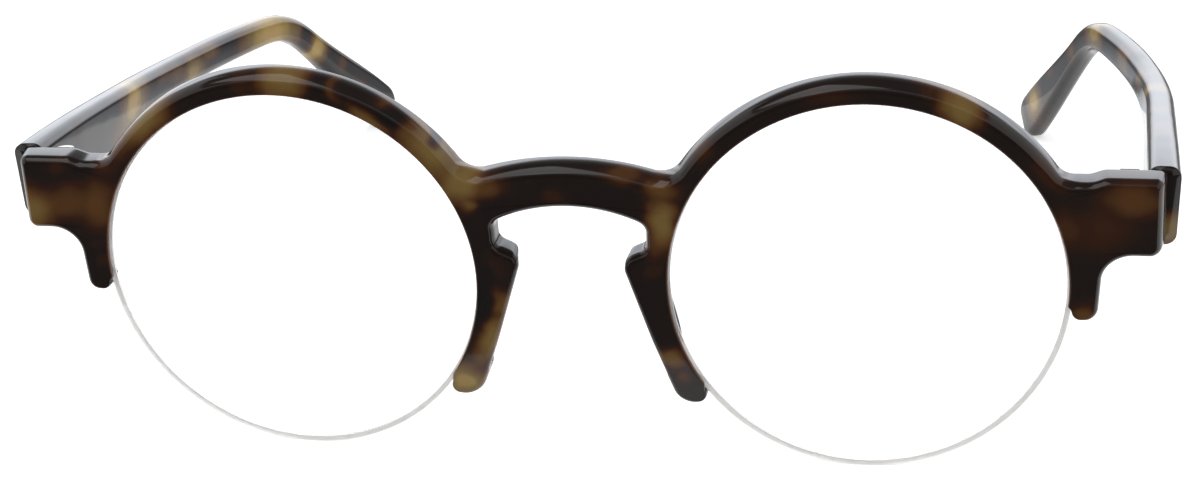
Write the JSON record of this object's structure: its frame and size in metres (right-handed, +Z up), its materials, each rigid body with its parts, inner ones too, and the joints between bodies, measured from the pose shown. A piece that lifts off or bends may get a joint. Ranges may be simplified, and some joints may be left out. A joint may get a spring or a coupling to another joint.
{
  "type": "browline glasses",
  "caption": "Round browline glasses: acetate front with keyhole bridge over rimless-bottom clear lenses held by nylon cord, and folding acetate temples with bent ear ends.",
  "frame": {"origin": "middle of the width and depth of the open pair, on the surface that the lens edges and the temple tips stand on", "axes": "+X towards the wearer's left, +Y from the front towards the ears, +Z up"},
  "size_m": [0.1488, 0.1346, 0.0511],
  "materials": {
    "tortoise_acetate": "polished, dark brown with amber and honey patches",
    "clear_lens": "clear and polished",
    "clear_nylon": "clear",
    "hinge_steel": "fine satin"
  },
  "bodies": {
    "frame": {"front": "tortoise_acetate", "nose_pad_left": "tortoise_acetate", "nose_pad_right": "tortoise_acetate", "lens_left": "clear_lens", "lens_right": "clear_lens", "rim_liner_left": "clear_nylon", "rim_liner_right": "clear_nylon", "nylon_cord_left": "clear_nylon", "nylon_cord_right": "clear_nylon", "front_hinge_leaf_left": "hinge_steel", "front_hinge_leaf_right": "hinge_steel", "hinge_screw_left": "hinge_steel", "hinge_screw_right": "hinge_steel"},
    "temple_left_arm": {"temple_left": "tortoise_acetate", "temple_hinge_leaf_left": "hinge_steel", "core_wire_left": "hinge_steel"},
    "temple_right_arm": {"temple_right": "tortoise_acetate", "temple_hinge_leaf_right": "hinge_steel", "core_wire_right": "hinge_steel"}
  },
  "joints": [
    {"name": "temple_fold_left", "type": "hinge", "parent": "frame", "child": "temple_left_arm", "pos_m": [0.0649, -0.05976, 0.03515], "axis": [0, 0.0785, 0.9969], "range_deg": [0, 84]},
    {"name": "temple_fold_right", "type": "hinge", "parent": "frame", "child": "temple_right_arm", "pos_m": [-0.0649, -0.05976, 0.03515], "axis": [0, -0.0785, -0.9969], "range_deg": [0, 68]}
  ]
}
